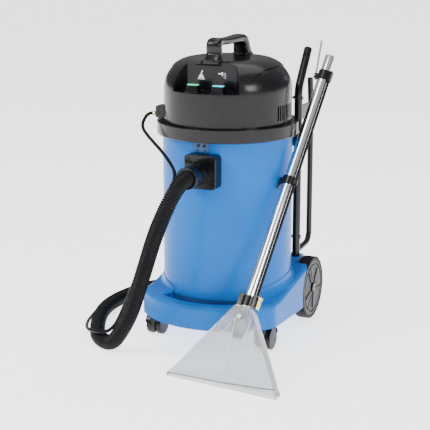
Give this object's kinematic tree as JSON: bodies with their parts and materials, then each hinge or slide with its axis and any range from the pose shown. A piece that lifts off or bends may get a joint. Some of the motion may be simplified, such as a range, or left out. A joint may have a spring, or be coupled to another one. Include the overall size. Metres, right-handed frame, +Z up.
{
  "type": "carpet cleaner machine",
  "caption": "Upright spray-extraction carpet cleaner: drum tank on a wheeled base, lift-off power head, ribbed hose, and a wand with a clear fishtail nozzle.",
  "frame": {"origin": "on the floor under the drum's axis", "axes": "+Z up, -Y to the front where the hose inlet is, +X to the side where the wand leans"},
  "size_m": [0.7935, 0.953, 0.898],
  "materials": {
    "blue_plastic": "moulded, soft gloss",
    "light_blue_plastic": "moulded, soft gloss",
    "black_plastic": "moulded, satin gloss",
    "black_steel": "gloss powder coat",
    "steel": "zinc plated",
    "chrome": "polished",
    "brass": "turned",
    "hose_plastic": "flexible, satin",
    "rubber": "matte",
    "tyre": "smooth solid tyre",
    "grey_plastic": "moulded, gloss",
    "clear_plastic": "clear moulding",
    "natural_plastic": "natural translucent moulding",
    "inner_plastic": "moulded, matte"
  },
  "bodies": {
    "chassis": {"tank_drum": "blue_plastic", "inlet_plate": "black_plastic", "plate_screws": "steel", "inlet_neck": "black_plastic", "inlet_deflector": "inner_plastic", "tank_cover_plate": "light_blue_plastic", "clean_water_tank": "natural_plastic", "clean_tank_cap": "inner_plastic", "pickup_tube": "natural_plastic", "chassis_base": "blue_plastic", "rear_axle": "steel", "axle_caps": "black_plastic", "rear_posts": "black_steel", "post_end_caps": "black_plastic", "cradle_tubes": "black_steel", "post_brackets": "black_steel", "post_bolts": "steel", "latch_bases": "black_plastic", "suction_hose": "hose_plastic", "hose_end_cuff": "black_plastic", "solution_hose": "hose_plastic", "line_connector": "brass"},
    "hose_swivel": {"hose_cuff": "black_plastic"},
    "left_wheel": {"left_wheel_hub": "grey_plastic", "left_tyre": "tyre"},
    "right_wheel": {"right_wheel_hub": "grey_plastic", "right_tyre": "tyre"},
    "left_caster": {"left_caster_fork": "black_plastic"},
    "left_caster_rollers": {"left_caster_wheels": "grey_plastic"},
    "right_caster": {"right_caster_fork": "black_plastic"},
    "right_caster_rollers": {"right_caster_wheels": "grey_plastic"},
    "power_head": {"head_cover": "black_plastic", "head_ring": "black_plastic", "head_seal": "rubber", "motor_deck": "inner_plastic", "vacuum_motor": "steel", "solution_pump": "inner_plastic", "float_cage": "inner_plastic", "carry_handle": "black_plastic", "switch_bezels": "black_plastic", "vent_grilles": "black_plastic", "outlet_bracket": "black_plastic", "outlet_nipple": "brass", "mains_inlet": "black_plastic"},
    "float": {"float_ball": "natural_plastic"},
    "sleeve": {"coupler_sleeve": "brass"},
    "vacuum_switch": {"vacuum_rocker": "black_plastic"},
    "pump_switch": {"pump_rocker": "black_plastic"},
    "right_latch": {"right_latch": "grey_plastic"},
    "left_latch": {"left_latch": "grey_plastic"},
    "wand": {"wand_lower_tube": "chrome", "wand_upper_tube": "chrome", "wand_collar": "black_plastic", "solution_line": "hose_plastic", "wand_valve": "black_plastic", "nozzle_clamp": "black_plastic", "brass_fitting": "brass", "nozzle_body": "clear_plastic", "spray_jet": "steel"},
    "trigger": {"trigger_lever": "chrome"}
  },
  "joints": [
    {"name": "head_lift", "type": "slide", "parent": "chassis", "child": "power_head", "axis": [0, 0, 1], "range_m": [0, 0.25]},
    {"name": "wand_lift", "type": "slide", "parent": "chassis", "child": "wand", "axis": [0.5011, -0.2004, 0.8419], "range_m": [0, 0.3]},
    {"name": "trigger_squeeze", "type": "hinge", "parent": "wand", "child": "trigger", "pos_m": [0.21852, 0.15756, 0.77093], "axis": [0.1098, 0.7862, -0.6082], "range_deg": [0, 8], "stiffness_Nm_per_rad": 0.6, "springref_deg": -5.73},
    {"name": "hose_turn", "type": "hinge", "parent": "chassis", "child": "hose_swivel", "pos_m": [0.008, -0.28, 0.533], "axis": [0, 1, 0], "range_deg": [-45, 45]},
    {"name": "left_wheel_roll", "type": "hinge", "parent": "chassis", "child": "left_wheel", "pos_m": [-0.19, 0.199, 0.0977], "axis": [1, 0, 0], "continuous": true},
    {"name": "right_wheel_roll", "type": "hinge", "parent": "chassis", "child": "right_wheel", "pos_m": [0.19, 0.199, 0.0977], "axis": [1, 0, 0], "continuous": true},
    {"name": "left_caster_swivel", "type": "hinge", "parent": "chassis", "child": "left_caster", "pos_m": [-0.176, -0.152, 0.08], "axis": [0, 0, 1], "continuous": true},
    {"name": "right_caster_swivel", "type": "hinge", "parent": "chassis", "child": "right_caster", "pos_m": [0.176, -0.152, 0.08], "axis": [0, 0, 1], "continuous": true},
    {"name": "left_caster_roll", "type": "hinge", "parent": "left_caster", "child": "left_caster_rollers", "pos_m": [-0.176, -0.128, 0.033], "axis": [1, 0, 0], "continuous": true},
    {"name": "right_caster_roll", "type": "hinge", "parent": "right_caster", "child": "right_caster_rollers", "pos_m": [0.176, -0.128, 0.033], "axis": [1, 0, 0], "continuous": true},
    {"name": "float_rise", "type": "slide", "parent": "power_head", "child": "float", "axis": [0, 0, 1], "range_m": [0, 0.03]},
    {"name": "sleeve_pull", "type": "slide", "parent": "power_head", "child": "sleeve", "axis": [1, 0, 0], "range_m": [0, 0.003], "stiffness_N_per_m": 150, "springref_m": -0.001},
    {"name": "vacuum_switch_rock", "type": "hinge", "parent": "power_head", "child": "vacuum_switch", "pos_m": [-0.039, -0.163, 0.75], "axis": [1, 0, 0], "range_deg": [-8, 8]},
    {"name": "pump_switch_rock", "type": "hinge", "parent": "power_head", "child": "pump_switch", "pos_m": [0.039, -0.163, 0.75], "axis": [1, 0, 0], "range_deg": [-8, 8]},
    {"name": "right_latch_open", "type": "hinge", "parent": "chassis", "child": "right_latch", "pos_m": [0.18307, 0.08537, 0.583], "axis": [-0.4226, 0.9063, 0], "range_deg": [0, 60]},
    {"name": "left_latch_open", "type": "hinge", "parent": "chassis", "child": "left_latch", "pos_m": [-0.18307, 0.08537, 0.583], "axis": [-0.4226, -0.9063, 0], "range_deg": [0, 60]}
  ]
}
